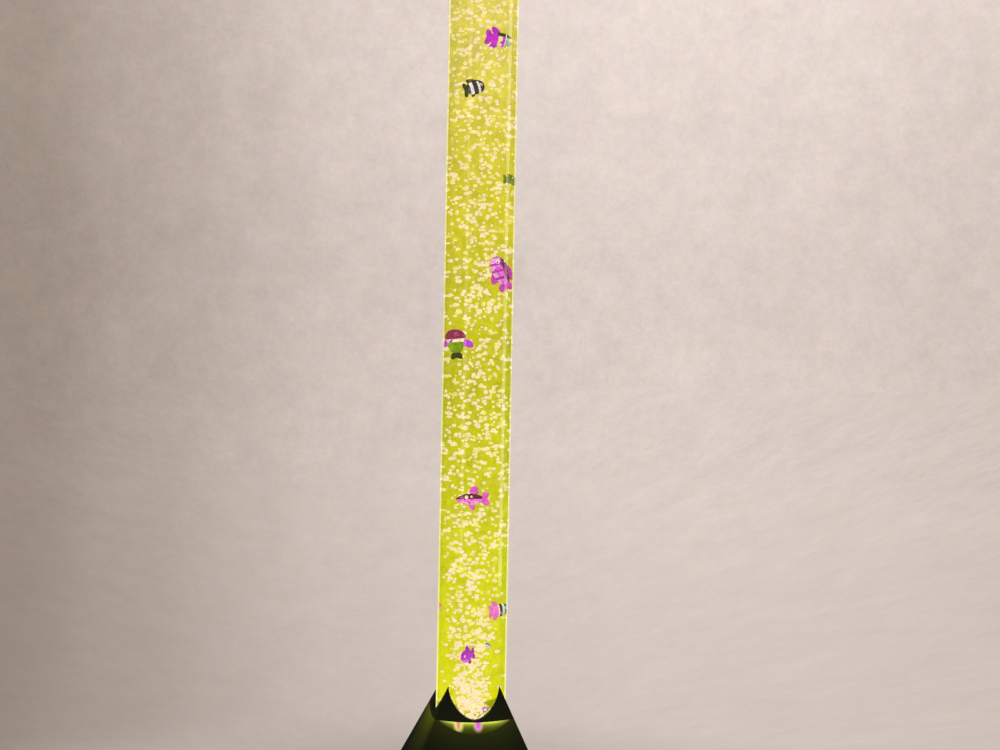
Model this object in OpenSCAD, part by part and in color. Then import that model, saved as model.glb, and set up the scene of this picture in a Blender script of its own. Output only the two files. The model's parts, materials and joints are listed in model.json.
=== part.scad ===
// Bubble tube floor lamp: a water-filled acrylic tube with plastic fish, on a pointed square base that
// holds the air pump and the lights. It stands on z = 0, centred on the tube's axis. Millimetres, +Z up.

/* [Lamp] */
// Overall height, rubber feet to the top of the lid
lamp_h = 1200; // [900:10:1500]

/* [Tube] */
// Outer diameter of the clear tube
tube_d = 90; // [80:1:90]
// Wall of the clear tube
tube_wall = 2.5; // [2:0.5:3.5]
// Underside of the tube, where it stands in its socket
tube_bottom_z = 88; // [86:1:90]
// Thickness of the clear floor bonded into the tube
tube_floor_t = 6; // [5:0.5:8]

/* [Base] */
// Width across the flats of the plinth
base_w = 204; // [196:1:216]
// Height of the rubber feet under the plinth
foot_h = 4; // [3:0.5:6]
// Top of the upright plinth band, where the slopes begin
plinth_top_z = 25; // [25:1:28]
// Height of the crown's four points
crown_tip_z = 175; // [172:1:180]
// Wall of the moulded shells, measured level
shell_wall = 3.3; // [2.5:0.1:4]
// Flat cut along each ridge of the base, at the plinth
ridge_flat = 1; // [0.4:0.1:3]

/* [Crown] */
// Half the width of a scoop at the points
scoop_half = 32; // [28:0.5:32]
// Depth of a scoop below the points
scoop_depth = 38.5; // [30:0.5:39]
// Roundness of a scoop: 2 is an ellipse, less is more pointed
scoop_power = 1.75; // [1.5:0.05:2.2]
// Seam below the points, at the middle of a face
seam_depth = 41; // [41:0.5:44]
// How far the seam rises from the middle of a face to the ridges
seam_rise = 4; // [2:0.5:5]
// Bottom of the lit slot below the points
slot_depth = 54; // [50:0.5:58]
// Half the length of the lit slot
slot_half = 45; // [35:0.5:46]

/* [Top] */
// Width across the flats of the top collar
cap_w = 116; // [110:1:124]
// Height of the upright band round the top collar
cap_band_h = 8; // [5:1:12]
// Height of the lid's roof
lid_h = 33; // [24:1:40]
// Width across the flats of the lid's flat top
lid_top_w = 18; // [12:1:30]

/* [Controls] */
// Diameter of the two push buttons
button_d = 12; // [10:0.5:12]
// Depth of the control recess in the back of the plinth
recess_d = 3; // [2.5:0.5:4]
// How far a button stands out of the recess
button_proud = 2; // [1.8:0.1:2.4]
// Sideways distance of each button from the power jack
button_x = 28; // [20:1:40]
// Height of the buttons and the power jack
control_z = 16; // [15.5:0.5:16]

/* [Fish] */
// Greatest thickness of a fish, as a share of its height
fish_plump = 0.36; // [0.25:0.01:0.45]
// Thickness of the fins
fin_t = 1.2; // [0.8:0.1:2]
// Turn of the swimming planes about the tube's axis, in degrees
swim_turn = -7; // [-90:1:90]

/* [Hidden] */

$fn = 96;
eps = 1;                // overrun of a cut past the face it opens
fit = 0.05;             // running gap, each side
seat = 0.3;             // loose gap, each side
overlap = 0.01;         // how deep two stacked shapes of one piece run into each other

tube_r = tube_d / 2;
bore_r = tube_r + seat;
tube_in_r = tube_r - tube_wall;
base_half = base_w / 2;
tip_half = scoop_half + 0.5;
slope = (base_half - tip_half) / (crown_tip_z - plinth_top_z);
function half_at(z) = tip_half + slope * (crown_tip_z - z);

seam_z = crown_tip_z - seam_depth;
slot_z = crown_tip_z - slot_depth;
seam_half = half_at(seam_z + seam_rise);
seam_r = (pow(seam_half, 2) + pow(seam_rise, 2)) / (2 * seam_rise);
slot_rise = seam_z + seam_r - sqrt(pow(seam_r, 2) - pow(slot_half, 2)) - slot_z;
slot_r = (pow(slot_half, 2) + pow(slot_rise, 2)) / (2 * slot_rise);

plate_t = 4;
plate_top = foot_h + plate_t;
plate_half = base_half - shell_wall - seat;

ring_r = tube_r + 4.6;          // outside of the light ring
cup_top = slot_z - 4;           // the light ring stands on the socket here
cup_r = tube_r + 4.4;
flange_z = tube_bottom_z - 8;
flange_t = 4;
flange_r = tube_r + 19;
post_xy = 40.3;
post_r = 5;
pocket_r = 38;
lip_r = 35;
board_t = 1.6;

screw_r = 1.4;
screw_hole_r = 1.8;
head_r = 3.2;
head_h = 2;
case_screw_xy = base_half - 14;
foot_xy = base_half - 30;

cap_half = cap_w / 2;
cap_top = lamp_h - lid_h;
cap_flare_z = cap_top - cap_band_h;
cap_tip_z = cap_flare_z - (cap_half - tip_half) / slope;
tube_top_z = cap_top - 17;
mouth_r = tube_in_r - 0.2;
skirt_r = mouth_r - 0.7;
skirt_in_r = skirt_r - 2.5;
skirt_z = cap_top - 14;
seal_z = cap_top - 10;
seal_h = 3;

barb_r = 2.5;
hose_r = 4;
pump_z = plate_top + 4;         // underside of the pump tray
pump_wall = 2;
pump_min = [-35, -34];
pump_max = [29, 14];
pump_floor = pump_z + pump_wall;
pump_lid_z = pump_z + 26;
arm_y = -12;
arm_z = pump_floor + 4;
pivot = [20, arm_y + 1];
pivot_r = 1;
core_y = -29;

board_min = [-93, -25];
board_size = [40, 50];
board_z = plate_top + 6;

button_r = button_d / 2;
recess_y = base_half - recess_d;
panel_y = recess_y - shell_wall;    // inner face of the wall behind the recess
switch_y = panel_y - 14.7;          // front face of the switch board
recess_half = button_x + button_r + 6;
recess_z = [control_z - 7.5, control_z + 7.5];

// ---- shapes used by more than one piece ----

// A square with its corners cut flat.
module ridge_square(half, flat) {
    polygon([for (q = [0:3]) for (k = [0, 1]) let (
        a = k == 0 ? half : half - flat,
        b = k == 0 ? half - flat : half,
        p = q % 2 == 0 ? [a, b] : [b, a]
    ) [(q == 0 || q == 3 ? 1 : -1) * p[0], (q < 2 ? 1 : -1) * p[1]]]);
}

// The sloping part of the base between two heights, drawn in by inset all round.
module pyramid(z0, z1, inset = 0) {
    h0 = half_at(z0) - inset;
    h1 = half_at(z1) - inset;
    translate([0, 0, z0])
        linear_extrude(z1 - z0, scale = h1 / h0)
            ridge_square(h0, ridge_flat * h0 / base_half);
}

// Copies of a shape across the lamp, one along Y and one along X.
module both_ways() {
    children();
    rotate([0, 0, 90]) children();
}

// A long level bar with a round section, touching height z from above at the axis.
module level_bar(r, z) {
    both_ways()
        translate([0, 0, z + r])
            rotate([90, 0, 0]) cylinder(h = 2 * base_half, r = r, center = true, $fn = 180);
}

// The U-shaped cuts that part the four points of a crown. Points at z = 0, scoops below.
module scoops() {
    steps = 30;
    outline = [for (i = [0:steps]) let (a = 180 * i / steps) [
        scoop_half * sign(cos(a)) * pow(abs(cos(a)), 2 / scoop_power),
        -scoop_depth * pow(sin(a), 2 / scoop_power)
    ]];
    both_ways()
        rotate([90, 0, 0])
            linear_extrude(2 * base_half, center = true)
                polygon(concat([[-scoop_half, eps], [scoop_half, eps]], outline));
}

module ring(r_in, r_out, z0, z1) {
    translate([0, 0, z0]) difference() {
        cylinder(h = z1 - z0, r = r_out);
        translate([0, 0, -eps]) cylinder(h = z1 - z0 + 2 * eps, r = r_in);
    }
}

module rod(r, z0, z1) {
    translate([0, 0, z0]) cylinder(h = z1 - z0, r = r);
}

module box(low, high) {
    translate(low) cube(high - low);
}

// A copy in each corner of a square.
module corners(xy) {
    for (sx = [-1, 1]) for (sy = [-1, 1]) translate([sx * xy, sy * xy, 0]) children();
}

// A level cylinder from y0 to y1 at height control_z.
module level_rod(x, r, y0, y1) {
    translate([x, y0, control_z]) rotate([-90, 0, 0]) cylinder(h = y1 - y0, r = r);
}

// ---- base, outside ----

module base_plate() {
    color("#15171a") difference() {
        union() {
            translate([0, 0, foot_h]) linear_extrude(plate_t) square(2 * plate_half, center = true);
            corners(post_xy) {
                rod(post_r, foot_h, flange_z);
                box([-1, -12, foot_h], [1, 12, plate_top + 14]);
                box([-12, -1, foot_h], [12, 1, plate_top + 14]);
            }
            for (x = [3, board_size[0] - 3]) for (y = [3, board_size[1] - 3])
                translate([board_min[0] + x, board_min[1] + y, 0]) rod(2.5, foot_h, board_z);
            for (x = [-44, 44])
                box([x - 2, switch_y - 4, foot_h], [x + 2, switch_y, plate_top + 10]);
        }
        corners(post_xy) rod(screw_r + fit, flange_z - 16, flange_z + eps);
        corners(case_screw_xy) {
            rod(screw_hole_r, foot_h - eps, plate_top + eps);
            rod(head_r + 0.2, foot_h - eps, foot_h + head_h + 0.2);
        }
        corners(foot_xy) rod(3 + fit, foot_h - eps, plate_top + eps);
        for (x = [3, board_size[0] - 3]) for (y = [3, board_size[1] - 3])
            translate([board_min[0] + x, board_min[1] + y, 0]) rod(1, plate_top, board_z + eps);
        for (i = [0:6])
            box([52 + 5 * i, -18, foot_h - eps], [54.5 + 5 * i, 18, plate_top + eps]);
    }
}

module rubber_feet() {
    color("#26282b") corners(foot_xy) {
        cylinder(h = 1.2, r1 = 9, r2 = 10);
        rod(10, 1.2, foot_h);
        rod(3, foot_h - eps, plate_top);
        translate([0, 0, plate_top]) cylinder(h = 2.4, r1 = 4.4, r2 = 2.6);
    }
}

module base_housing() {
    top = seam_z + seam_rise;
    color("#0d0f0d") difference() {
        union() {
            difference() {
                union() {
                    translate([0, 0, foot_h]) linear_extrude(plinth_top_z - foot_h)
                        ridge_square(base_half, ridge_flat);
                    pyramid(plinth_top_z, top);
                }
                translate([0, 0, foot_h - eps]) linear_extrude(plinth_top_z - foot_h + 1.01 * eps)
                    square(2 * (base_half - shell_wall), center = true);
                pyramid(plinth_top_z, top + eps, shell_wall);
            }
            box([-recess_half - 3, panel_y, plate_top],
                [recess_half + 3, base_half - shell_wall + 0.5, plinth_top_z]);
            intersection() {
                corners(case_screw_xy) rod(5, plate_top, plinth_top_z + 32);
                pyramid(plate_top - eps, top, 0.5);
            }
        }
        level_bar(seam_r, seam_z);
        level_bar(slot_r, slot_z);
        corners(case_screw_xy) rod(screw_r + fit, plate_top - eps, plate_top + 22);
        box([-recess_half, recess_y, recess_z[0]], [recess_half, base_half + eps, recess_z[1]]);
        for (x = [-button_x, button_x]) level_rod(x, button_r + fit, panel_y - eps, recess_y + eps);
        level_rod(0, 5.4 + fit, panel_y - eps, recess_y + eps);
    }
}

module case_screws() {
    color("#8f9296") corners(case_screw_xy) {
        rod(head_r, foot_h + 0.2, foot_h + 0.2 + head_h);
        rod(screw_r, foot_h + head_h, plate_top + 18);
    }
}

module crown_collar() {
    color("#0b0d0b") difference() {
        union() {
            intersection() {
                pyramid(seam_z - eps, crown_tip_z);
                level_bar(seam_r, seam_z);
            }
            rod(ring_r, seam_z, seam_z + 6);
        }
        rod(bore_r, seam_z - eps, crown_tip_z + eps);
        translate([0, 0, crown_tip_z]) scoops();
    }
}

// The four panes of the light ring. Each fills its slot flush with the face, a running gap smaller all
// round, and stops short of the slot's sharp ends.
module slot_panes() {
    top = seam_z + seam_rise;
    pane_half = slot_half - 1.5;
    difference() {
        intersection() {
            pyramid(slot_z, top);
            both_ways()
                rotate([90, 0, 0]) linear_extrude(2 * base_half, center = true)
                    difference() {
                        intersection() {
                            translate([0, slot_z + slot_r]) circle(slot_r - fit, $fn = 180);
                            translate([-pane_half, slot_z]) square([2 * pane_half, 2 * slot_rise]);
                        }
                        translate([0, seam_z + seam_r]) circle(seam_r + fit, $fn = 180);
                    }
        }
        pyramid(slot_z - eps, top + eps, shell_wall);
    }
}

module light_ring() {
    color("#dfe8a8") difference() {
        union() {
            rod(ring_r, cup_top, seam_z);
            slot_panes();
        }
        rod(bore_r, cup_top - eps, seam_z + eps);
    }
}

// ---- tube and what closes it ----

module bubble_tube() {
    color([0.86, 0.87, 0.45, 0.35]) ring(tube_in_r, tube_r, tube_bottom_z, tube_top_z);
}

module tube_floor() {
    color([0.9, 0.93, 0.8, 0.5]) ring(4, tube_in_r, tube_bottom_z, tube_bottom_z + tube_floor_t);
}

module tube_socket() {
    color("#1b1d20") difference() {
        rotate_extrude() polygon([
            [lip_r, flange_z - 2], [cup_r, flange_z - 2], [cup_r, flange_z], [flange_r, flange_z],
            [flange_r, flange_z + flange_t], [cup_r, flange_z + flange_t], [cup_r, cup_top],
            [bore_r, cup_top], [bore_r, tube_bottom_z + 13], [bore_r + 1.5, tube_bottom_z + 13],
            [bore_r + 1.5, tube_bottom_z + 10], [bore_r, tube_bottom_z + 10], [bore_r, tube_bottom_z],
            [pocket_r, tube_bottom_z], [pocket_r, flange_z], [lip_r, flange_z]
        ]);
        corners(post_xy) rod(screw_hole_r, flange_z - eps, flange_z + flange_t + eps);
    }
}

module tube_seal() {
    color("#303236") ring(tube_r, bore_r + 1.5, tube_bottom_z + 10, tube_bottom_z + 13);
}

module socket_screws() {
    color("#8f9296") corners(post_xy) {
        rod(head_r, flange_z + flange_t, flange_z + flange_t + head_h);
        rod(screw_r, flange_z - 12, flange_z + flange_t + 0.5);
    }
}

// ---- lights ----

module led_board() {
    color("#e8ece4") ring(20, pocket_r - 0.2, flange_z, flange_z + board_t);
}

module leds() {
    count = 12;
    color("#f4f7d8") for (i = [0:count - 1])
        rotate([0, 0, 360 * i / count]) translate([29, 0, flange_z + board_t]) {
            cylinder(h = 1.6, r = 2.5, $fn = 32);
            translate([0, 0, 1.6]) intersection() {
                sphere(r = 2.3, $fn = 32);
                cylinder(h = 3, r = 3, $fn = 32);
            }
        }
}

// ---- air line ----

module air_nozzle() {
    top = tube_bottom_z + tube_floor_t;
    color("#b8893a") difference() {
        union() {
            rod(barb_r, flange_z - 6, flange_z);
            rod(4 - fit, flange_z, top + 1);
            rod(8, top + 1, top + 3);
            translate([0, 0, top + 3]) cylinder(h = 4, r1 = 6, r2 = 3);
        }
        rod(1.2, flange_z - 6 - eps, top + 7 + eps);
    }
}

module nozzle_washer() {
    top = tube_bottom_z + tube_floor_t;
    color("#303236") ring(4, 8, top, top + 1);
}

module nozzle_nut() {
    color("#b8893a") difference() {
        translate([0, 0, tube_bottom_z - 5]) cylinder(h = 5, r = 7, $fn = 6);
        rod(4, tube_bottom_z - 5 - eps, tube_bottom_z + eps);
    }
}

module hose_to_nozzle() {
    color("#cfd6cf") ring(barb_r, hose_r, flange_z - 11.5, flange_z - 0.5);
}

module check_valve() {
    color("#3f7fb5") difference() {
        union() {
            rod(barb_r, flange_z - 27.5, flange_z - 22);
            rod(6.5, flange_z - 22, flange_z - 12);
            rod(barb_r, flange_z - 12, flange_z - 6.5);
        }
        rod(1.2, flange_z - 27.5 - eps, flange_z - 6.5 + eps);
    }
}

module hose_from_pump() {
    color("#cfd6cf") ring(barb_r, hose_r, pump_lid_z + 7, flange_z - 22.5);
}

// ---- air pump ----

module pump_feet() {
    color("#303236") for (x = [pump_min[0] + 5, pump_max[0] - 5]) for (y = [pump_min[1] + 5, pump_max[1] - 5])
        translate([x, y, 0]) rod(4, plate_top, pump_z);
}

module pump_tray() {
    color("#3a3d42") difference() {
        box([pump_min[0], pump_min[1], pump_z], [pump_max[0], pump_max[1], pump_lid_z]);
        box([pump_min[0] + pump_wall, pump_min[1] + pump_wall, pump_floor],
            [pump_max[0] - pump_wall, pump_max[1] - pump_wall, pump_lid_z + eps]);
    }
}

module pump_lid() {
    color("#4a4e54") difference() {
        union() {
            box([pump_min[0], pump_min[1], pump_lid_z], [pump_max[0], pump_max[1], pump_lid_z + pump_wall]);
            rod(6, pump_lid_z, pump_lid_z + 5);
        }
        rod(barb_r + 0.5, pump_lid_z - eps, pump_lid_z + 5 + eps);
    }
}

module pump_core() {
    color("#85888c") union() {
        box([-31, core_y, pump_floor], [-27, -18.2, pump_floor + 15]);
        box([-17, core_y, pump_floor], [-13, -18.2, pump_floor + 15]);
        box([-31, core_y, pump_floor + 3], [-13, core_y + 4, pump_floor + 15]);
    }
}

module pump_coil() {
    color("#b0562a") difference() {
        box([-26.5, core_y - 2.5, pump_floor + 0.5], [-17.5, core_y + 6.5, pump_floor + 17.5]);
        box([-26.5 - eps, core_y, pump_floor + 3], [-17.5 + eps, core_y + 4, pump_floor + 15]);
    }
}

module pump_arm() {
    color("#c9ccd0") difference() {
        union() {
            box([-30, arm_y, arm_z], [pivot[0], arm_y + 2, arm_z + 10]);
            translate(pivot) rod(3, pump_floor, arm_z + 12);
        }
        translate(pivot) rod(pivot_r + fit, pump_floor - eps, arm_z + 12 + eps);
    }
}

module pump_magnet() {
    color("#6d6f73") box([-29, arm_y - 4, arm_z - 1], [-15, arm_y, arm_z + 11]);
}

module pump_pivot() {
    color("#d8dadd") translate(pivot) rod(pivot_r, pump_floor, pump_lid_z);
}

module pump_diaphragm() {
    color("#2a2c2f") translate([0, 0, arm_z + 5]) rotate([90, 0, 0]) {
        translate([0, 0, 4]) cylinder(h = 1.5, r = 8);
        translate([0, 0, 5.5]) cylinder(h = 2.5, r1 = 7, r2 = 4.5);
        translate([0, 0, 8]) cylinder(h = 2, r = 2.5);
    }
}

module valve_box() {
    color("#54585e") difference() {
        union() {
            box([-9, -4, pump_floor], [9, 8, pump_lid_z - 1]);
            rod(barb_r, pump_lid_z - 1, pump_lid_z + 14);
        }
        rod(1.2, pump_floor + 6, pump_lid_z + 14 + eps);
        translate([0, -4 - eps, arm_z + 5]) rotate([-90, 0, 0]) cylinder(h = 3 + eps, r = 6);
    }
}

// ---- electronics ----

module control_board() {
    color("#1f6b3a") difference() {
        box([board_min[0], board_min[1], board_z],
            [board_min[0] + board_size[0], board_min[1] + board_size[1], board_z + board_t]);
        for (x = [3, board_size[0] - 3]) for (y = [3, board_size[1] - 3])
            translate([board_min[0] + x, board_min[1] + y, 0]) rod(1.2, board_z - eps, board_z + board_t + eps);
    }
}

module board_parts() {
    z = board_z + board_t;
    color("#2b2d31") translate([board_min[0], board_min[1], 0]) {
        box([14, 20, z], [24, 30, z + 1.4]);
        for (y = [10, 20]) translate([9, y, 0]) rod(4, z, z + 11);
        translate([31, 14, 0]) rod(5, z, z + 6);
        box([12, 36, z], [28, 42, z + 7]);
        for (i = [0:4]) box([28 + 1.8 * i, 26, z], [29 + 1.8 * i, 28, z + 0.7]);
    }
}

module board_screws() {
    z = board_z + board_t;
    color("#8f9296") for (x = [3, board_size[0] - 3]) for (y = [3, board_size[1] - 3])
        translate([board_min[0] + x, board_min[1] + y, 0]) {
            rod(1.9, z, z + 1.2);
            rod(0.95, plate_top + 1, z + 0.4);
        }
}

module switch_board() {
    color("#1f6b3a") box([-48, switch_y, plate_top], [48, switch_y + board_t, plate_top + 16]);
}

module tact_switches() {
    y = switch_y + board_t;
    color("#2b2d31") for (x = [-button_x, button_x]) {
        box([x - 3, y, control_z - 3], [x + 3, y + 3.5, control_z + 3]);
        level_rod(x, 1.6, y + 3.4, y + 4);
    }
}

module power_jack() {
    y = switch_y + board_t;
    color("#1a1b1d") {
        difference() {
            union() {
                box([-4.5, y, control_z - 5.5], [4.5, panel_y - 0.1, control_z + 5.5]);
                level_rod(0, 5.4, panel_y - 0.2, recess_y + 0.5);
            }
            level_rod(0, 2.75, recess_y - 10, recess_y + 0.5 + eps);
        }
        level_rod(0, 1, recess_y - 10.5, recess_y - 1);
    }
}

module push_button(x) {
    level_rod(x, button_r, panel_y - 0.2, recess_y + button_proud);
    level_rod(x, button_r + 0.8, panel_y - 1.5, panel_y - 0.05);
    level_rod(x, 2.5, panel_y - 7.4, panel_y - 1.4);
}

module light_button() {
    color("#24272b") push_button(-button_x);
}

module bubble_button() {
    color("#24272b") push_button(button_x);
}

// ---- top ----

module top_collar() {
    color("#0d0f0d") difference() {
        union() {
            translate([0, 0, cap_tip_z + crown_tip_z]) mirror([0, 0, 1])
                pyramid(crown_tip_z - (cap_flare_z - cap_tip_z), crown_tip_z);
            translate([0, 0, cap_flare_z - overlap]) linear_extrude(cap_band_h + overlap)
                ridge_square(cap_half, ridge_flat * cap_half / base_half);
        }
        rod(bore_r, cap_tip_z - eps, tube_top_z);
        rod(mouth_r, tube_top_z - eps, cap_top + eps);
        translate([0, 0, cap_tip_z]) mirror([0, 0, 1]) scoops();
    }
}

module top_lid() {
    half_top = lid_top_w / 2;
    wall = 3;
    color("#0d0f0d") difference() {
        union() {
            difference() {
                translate([0, 0, cap_top]) linear_extrude(lid_h, scale = half_top / cap_half)
                    ridge_square(cap_half, ridge_flat * cap_half / base_half);
                translate([0, 0, cap_top + wall])
                    linear_extrude(lid_h - 2 * wall - 1, scale = (half_top + 1) / (cap_half - 11))
                        square(2 * (cap_half - 11), center = true);
                rod(skirt_in_r, cap_top - eps, cap_top + wall + eps);
            }
            ring(skirt_in_r, skirt_r, skirt_z, cap_top + 0.5);
        }
        ring(skirt_r - 1.4, skirt_r + eps, seal_z, seal_z + seal_h);
        rod(1.5, lamp_h - 6, lamp_h + eps);
    }
}

module lid_seal() {
    color("#303236") ring(skirt_r - 1.4, mouth_r - 0.1, seal_z, seal_z + seal_h);
}

// ---- fish ----

// Each fish: place across the swimming planes, depth, height, length, height of the body,
// nose-up angle and heading, both in degrees, and how tall its fins are as a share of the body.
fish_list = [
    [14, 2, 999, 28, 19, -8, 25, 0.35],
    [-10, -16, 933, 30, 19, 20, 35, 0.5],
    [28, 8, 820, 24, 12, 0, 60, 0.3],
    [21, 8, 699, 46, 19, 72, 160, 0.35],
    [-21.5, 0, 607, 39, 22, 85, 165, 0.35],
    [-2, -8, 410, 35, 19, -3, 180, 0.45],
    [23, 8, 266, 24, 17, 5, 50, 0.3],
    [-4, -16, 212, 26, 17, -10, 235, 0.5],
    [-29, 10, 268, 20, 10, 0, 75, 0.3],
    [18, -14, 224, 16, 7, 8, 130, 0.3],
    [2, 16, 142, 28, 14, -20, 15, 0.4]
];

// Half-height of the body along its length, from nose 0 to tail root 1, as a share of its greatest.
function fish_outline(s) = pow(sin(180 * pow(s, 0.7)), 0.75) * (1 - 0.12 * s) + 0.16 * s;

module fish(i) {
    f = fish_list[i];
    len = f[3];
    tall = f[4];
    fin = tall * f[7];
    body_len = 0.74 * len;
    nose = len / 2;
    root = nose - body_len;
    steps = 9;
    rotate([0, 0, swim_turn]) translate([f[0], f[1], f[2]]) rotate([0, 0, f[6]]) rotate([0, -f[5], 0]) {
        scale([1, fish_plump, 1])
            translate([nose, 0, 0]) rotate([0, -90, 0])
                rotate_extrude($fn = 16) polygon(concat(
                    [[0, 0]],
                    [for (k = [1:steps]) [tall / 2 * fish_outline(k / steps), body_len * k / steps]],
                    [[0, body_len]]
                ));
        rotate([90, 0, 0]) linear_extrude(fin_t, center = true) {
            // forked tail
            polygon([[root + 1, 0.12 * tall], [root - 0.14 * len, 0.52 * tall], [-nose, 0.6 * tall],
                [root - 0.15 * len, 0], [-nose, -0.6 * tall], [root - 0.14 * len, -0.52 * tall],
                [root + 1, -0.12 * tall]]);
            // back fin
            polygon([[0.24 * len, 0.3 * tall], [0.12 * len, 0.5 * tall + 0.8 * fin],
                [-0.04 * len, 0.5 * tall + fin], [-0.16 * len, 0.5 * tall + 0.5 * fin], [-0.18 * len, 0.2 * tall]]);
            // belly fin
            polygon([[0.1 * len, -0.3 * tall], [0, -0.5 * tall - 0.8 * fin],
                [-0.1 * len, -0.5 * tall - 0.7 * fin], [-0.16 * len, -0.2 * tall]]);
        }
    }
}

base_plate();
rubber_feet();
base_housing();
case_screws();
crown_collar();
light_ring();
bubble_tube();
tube_floor();
tube_socket();
tube_seal();
socket_screws();
led_board();
leds();
air_nozzle();
nozzle_washer();
nozzle_nut();
hose_to_nozzle();
check_valve();
hose_from_pump();
pump_feet();
pump_tray();
pump_lid();
pump_core();
pump_coil();
pump_arm();
pump_magnet();
pump_pivot();
pump_diaphragm();
valve_box();
control_board();
board_parts();
board_screws();
power_jack();
switch_board();
tact_switches();
light_button();
bubble_button();
top_collar();
top_lid();
lid_seal();
color("#c2408f") fish(0);  // fish_01
color("#5c2f6e") fish(1);  // fish_02
color("#3f5d2a") fish(2);  // fish_03
color("#d0489a") fish(3);  // fish_04
color("#8a2f55") fish(4);  // fish_05
color("#d24fa6") fish(5);  // fish_06
color("#e089b4") fish(6);  // fish_07
color("#9a5fd0") fish(7);  // fish_08
color("#e58fb0") fish(8);  // fish_09
color("#8f9fd8") fish(9);  // fish_10
color("#c79be0") fish(10);  // fish_11
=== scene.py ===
# %% [markdown]
# # A bubble tube floor lamp, dressed in Blender
# The lamp is a tall acrylic tube of water with plastic fish, on a black base like a pyramid with four
# points. Its solids come from CAD as a fixed frame. This script gives them their finishes and adds what CAD
# leaves out: the water, its bubbles, and fish with modelled fins. Everything is in metres, with z = 0 on
# the floor.

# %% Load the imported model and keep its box
import json
import math

import bpy
import numpy as np
from mathutils import Matrix, Vector


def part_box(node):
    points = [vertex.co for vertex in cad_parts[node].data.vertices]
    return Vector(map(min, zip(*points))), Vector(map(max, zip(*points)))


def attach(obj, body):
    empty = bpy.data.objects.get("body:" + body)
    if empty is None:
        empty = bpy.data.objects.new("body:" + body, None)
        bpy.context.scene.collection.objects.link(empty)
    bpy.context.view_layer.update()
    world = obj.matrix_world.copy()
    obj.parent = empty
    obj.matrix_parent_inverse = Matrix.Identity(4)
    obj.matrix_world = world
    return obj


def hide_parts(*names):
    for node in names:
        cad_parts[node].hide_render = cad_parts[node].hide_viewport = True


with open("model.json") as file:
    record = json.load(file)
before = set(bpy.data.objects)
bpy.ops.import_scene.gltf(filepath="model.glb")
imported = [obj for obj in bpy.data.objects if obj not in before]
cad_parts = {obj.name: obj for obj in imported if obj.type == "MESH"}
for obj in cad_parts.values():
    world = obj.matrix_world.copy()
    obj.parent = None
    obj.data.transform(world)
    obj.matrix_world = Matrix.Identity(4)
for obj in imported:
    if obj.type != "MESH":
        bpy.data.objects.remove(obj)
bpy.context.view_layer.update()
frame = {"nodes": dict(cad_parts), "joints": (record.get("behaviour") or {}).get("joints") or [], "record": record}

# %% [markdown]
# ## The camera
# The photograph looks level at the middle of the tube from 1.7 m away, a little from the left. It was held
# at a slight tilt, so the tube leans to the right in the picture. The lens is a standard one, so the tube
# stays slim.

# %% Camera at the photograph's place
CAMERA_PLACE = Vector((-0.187, -1.725, 0.569))
CAMERA_TURN = math.atan2(0.1247, 0.9922)        # how far it looks to the right of +Y
CAMERA_TILT = math.radians(1.1)
FILM_WIDTH, LENS = 36, 48.5                     # in millimetres

camera = bpy.data.objects.new("camera", bpy.data.cameras.new("camera"))
camera.data.sensor_width = FILM_WIDTH
camera.data.lens = LENS
camera.matrix_world = (
    Matrix.Translation(CAMERA_PLACE)
    @ Matrix.Rotation(-CAMERA_TURN, 4, "Z")
    @ Matrix.Rotation(math.pi / 2, 4, "X")
    @ Matrix.Rotation(CAMERA_TILT, 4, "Z")
)
bpy.context.scene.collection.objects.link(camera)
bpy.context.scene.camera = camera
bpy.context.scene.view_settings.view_transform = "Standard"
print("camera", round((CAMERA_PLACE - Vector((0, 0, 0.6))).length, 2), "m from the middle of the tube")

# %% [markdown]
# ## Helpers for shader nodes
# A procedural finish is a small network of nodes, and these helpers keep it readable. The first adds a node
# and sets or links its inputs. The second starts a node group, which is an effect with named inputs that
# several materials share, and the third starts a material. The rest are the sums, steps and mixes that come
# back in nearly every finish.

# %% Helpers: a node, a group, a material and a screen colour
def add(tree, kind, inputs=None, **options):
    """Adds a shader node. An input is given by name or number, as a value or as the socket that feeds it."""
    made = tree.nodes.new("ShaderNode" + kind)
    for key, value in options.items():
        setattr(made, key, value)
    for key, value in (inputs or {}).items():
        if isinstance(value, bpy.types.NodeSocket):
            tree.links.new(value, made.inputs[key])
        else:
            made.inputs[key].default_value = value
    return made


def start_group(name, inputs, outputs):
    """A new node group. Inputs are (name, kind, value) and outputs (name, kind)."""
    tree = bpy.data.node_groups.new(name, "ShaderNodeTree")
    for label, kind, value in inputs:
        socket = tree.interface.new_socket(name=label, in_out="INPUT", socket_type="NodeSocket" + kind)
        socket.default_value = value
    for label, kind in outputs:
        tree.interface.new_socket(name=label, in_out="OUTPUT", socket_type="NodeSocket" + kind)
    return tree, tree.nodes.new("NodeGroupInput").outputs, tree.nodes.new("NodeGroupOutput").inputs


def new_material(name, constants):
    """A material, its node tree and its Principled shader, with constants on that shader's own sockets."""
    material = bpy.data.materials.new(name)
    material.use_nodes = True
    shader = material.node_tree.nodes["Principled BSDF"]
    for socket, value in constants.items():
        shader.inputs[socket].default_value = value
    return material, material.node_tree, shader


def rgb(*levels):
    """A screen colour of 0 to 255 as the linear colour that a shader takes."""
    shares = [level / 255 for level in levels]
    return tuple(v / 12.92 if v < 0.04045 else ((v + 0.055) / 1.055) ** 2.4 for v in shares) + (1,)

# %% Helpers: sums, steps and mixes
def math_nodes(tree):
    """A function that adds one Math node to a tree and returns its result."""
    def calc(operation, *values, **options):
        return add(tree, "Math", dict(enumerate(values)), operation=operation, **options).outputs[0]
    return calc


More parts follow.
